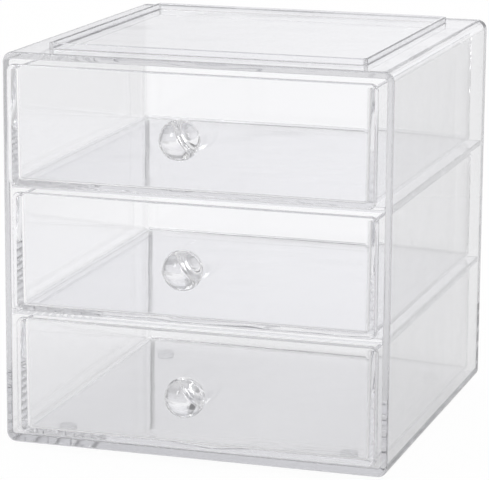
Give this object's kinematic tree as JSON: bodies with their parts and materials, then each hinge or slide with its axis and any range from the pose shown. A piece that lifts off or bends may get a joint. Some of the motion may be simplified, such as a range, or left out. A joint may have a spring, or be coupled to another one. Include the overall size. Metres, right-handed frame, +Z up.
{
  "type": "makeup organizer drawers",
  "caption": "Clear acrylic stackable organizer with pull-out drawers on ball knobs, fixed shelves, a raised stacking ridge on top and low round feet.",
  "frame": {"origin": "middle of the footprint, knobs included, on the surface that the feet stand on", "axes": "+Z up, the drawers pull out towards -Y, +X to the right of someone facing the drawers"},
  "size_m": [0.178, 0.2056, 0.1844],
  "materials": {
    "casing_clear": "clear polished acrylic",
    "shelf_clear": "clear polished acrylic",
    "drawer_clear": "clear polished acrylic",
    "knob_clear": "clear polished acrylic, solid",
    "foot_soft": "soft translucent"
  },
  "bodies": {
    "case": {"casing": "casing_clear", "lower_shelf": "shelf_clear", "upper_shelf": "shelf_clear", "foot_front_left": "foot_soft", "foot_front_right": "foot_soft", "foot_back_left": "foot_soft", "foot_back_right": "foot_soft"},
    "drawer_low": {"lower_drawer": "drawer_clear", "lower_knob": "knob_clear"},
    "drawer_mid": {"middle_drawer": "drawer_clear", "middle_knob": "knob_clear"},
    "drawer_up": {"upper_drawer": "drawer_clear", "upper_knob": "knob_clear"}
  },
  "joints": [
    {"name": "lower_slide", "type": "slide", "parent": "case", "child": "drawer_low", "axis": [0, -1, 0], "range_m": [0, 0.14]},
    {"name": "middle_slide", "type": "slide", "parent": "case", "child": "drawer_mid", "axis": [0, -1, 0], "range_m": [-0.0033, 0.1367]},
    {"name": "upper_slide", "type": "slide", "parent": "case", "child": "drawer_up", "axis": [0, -1, 0], "range_m": [-0.0078, 0.1322]}
  ]
}
